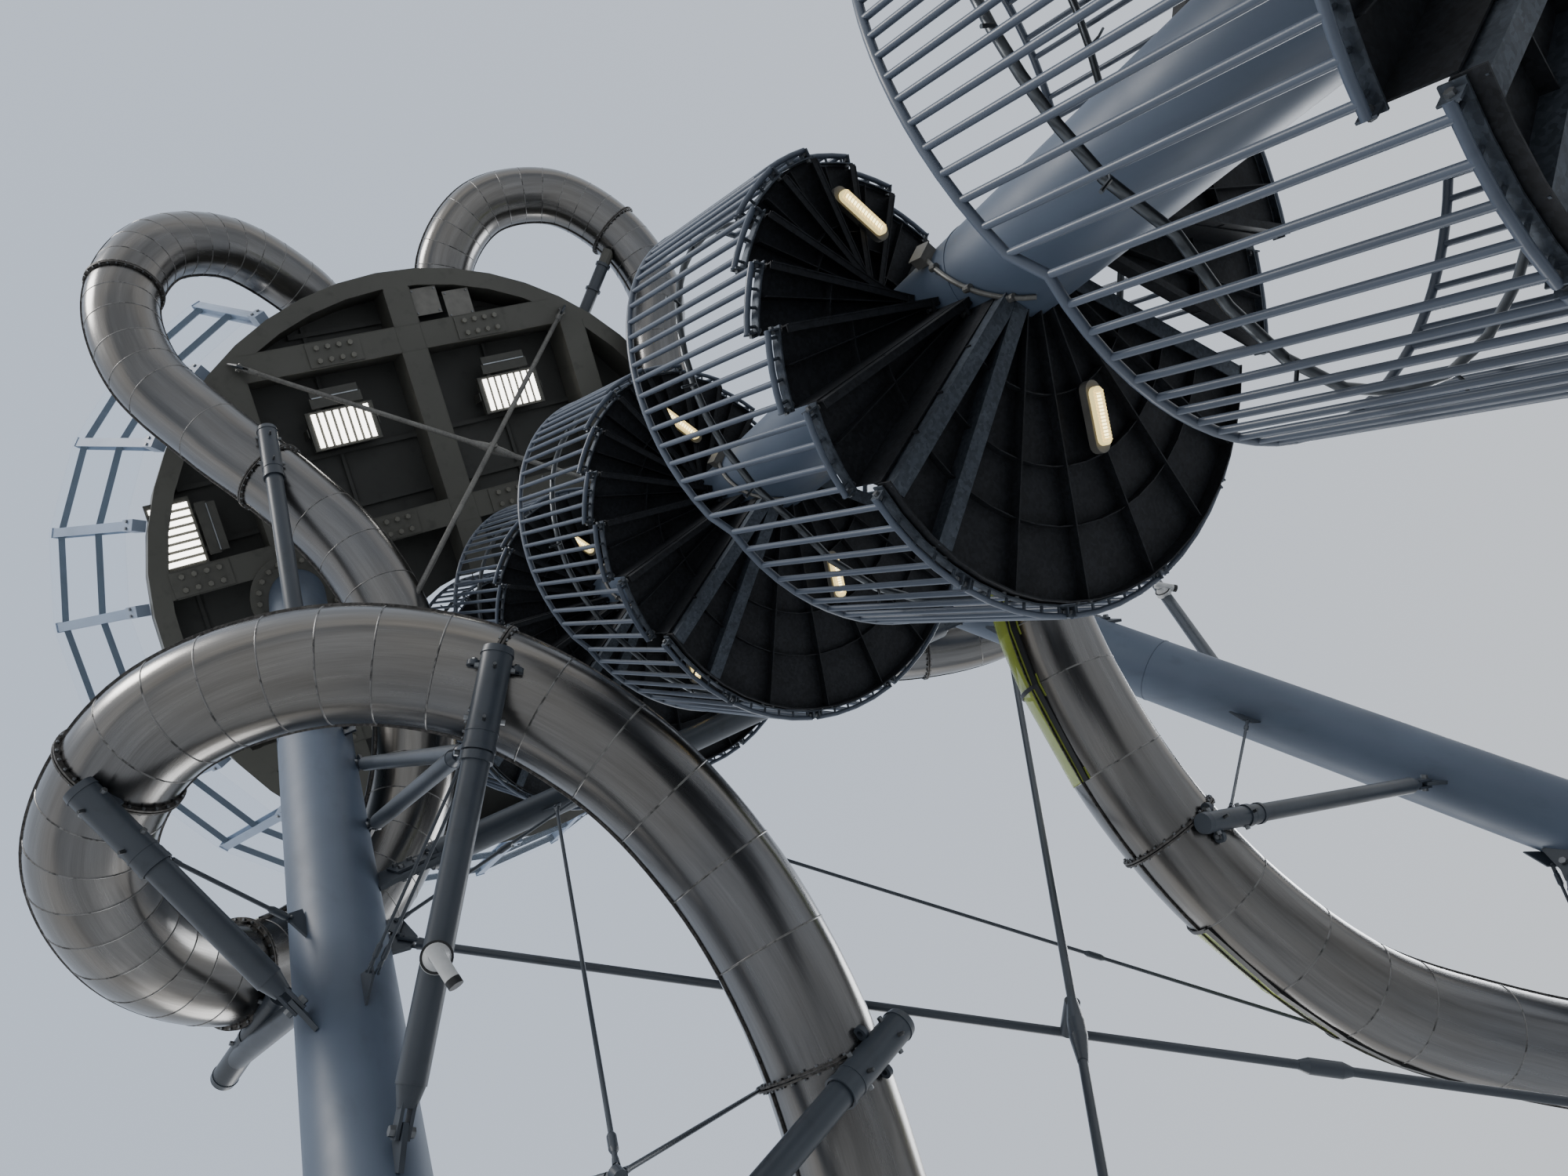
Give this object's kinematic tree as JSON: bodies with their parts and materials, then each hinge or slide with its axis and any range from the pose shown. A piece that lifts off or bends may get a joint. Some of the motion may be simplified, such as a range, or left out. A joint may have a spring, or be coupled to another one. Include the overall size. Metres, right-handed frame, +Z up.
{
  "type": "water slide tower",
  "caption": "Fairground tube slide tower: leaning round columns, round platform with a flared glazed crown, helical stair round one column and closed steel tube slides",
  "frame": {"origin": "centre of the underside of the stair column's foot plate, on the ground", "axes": "+Z up; +X is the picture's horizontal looking direction, +Y the picture's downward direction seen from below"},
  "size_m": [17.4993, 12.5867, 18.6675],
  "materials": {
    "column_paint": "satin",
    "platform_paint": "matte",
    "crown_paint": "satin",
    "crown_glass": "clear",
    "stair_steel": "matte",
    "rail_paint": "satin",
    "slide_steel": "brushed"
  },
  "bodies": {
    "root": {"column_1": "column_paint", "column_2": "column_paint", "column_3": "column_paint", "platform_ring_beam": "platform_paint", "platform_beams": "platform_paint", "platform_deck": "platform_paint", "crown_frame": "crown_paint", "crown_glass": "crown_glass", "stair_flight_1": "stair_steel", "stair_flight_2": "stair_steel", "stair_flight_3": "stair_steel", "stair_flight_4": "stair_steel", "stair_flight_5": "stair_steel", "stair_flight_6": "stair_steel", "balustrade_1": "rail_paint", "balustrade_2": "rail_paint", "balustrade_3": "rail_paint", "balustrade_4": "rail_paint", "balustrade_5": "rail_paint", "balustrade_6": "rail_paint", "slide_a_length_1": "slide_steel", "slide_a_length_2": "slide_steel", "slide_a_length_3": "slide_steel", "slide_a_length_4": "slide_steel", "slide_b_length_1": "slide_steel", "slide_b_length_2": "slide_steel", "slide_b_length_3": "slide_steel", "slide_b_length_4": "slide_steel", "strut": "column_paint", "upper_cross_rods": "column_paint", "lower_cross_rods": "column_paint", "slide_arm_1": "column_paint", "slide_arm_2": "column_paint", "slide_arm_3": "column_paint", "slide_arm_4": "column_paint", "slide_arm_5": "column_paint", "slide_arm_6": "column_paint", "slide_arm_7": "column_paint", "slide_arm_8": "column_paint", "slide_arm_9": "column_paint", "slide_a_cradle": "column_paint", "slide_b_cradle": "column_paint", "slide_a_post": "column_paint", "slide_b_post": "column_paint", "slide_entry_rail": "rail_paint"}
  },
  "joints": []
}
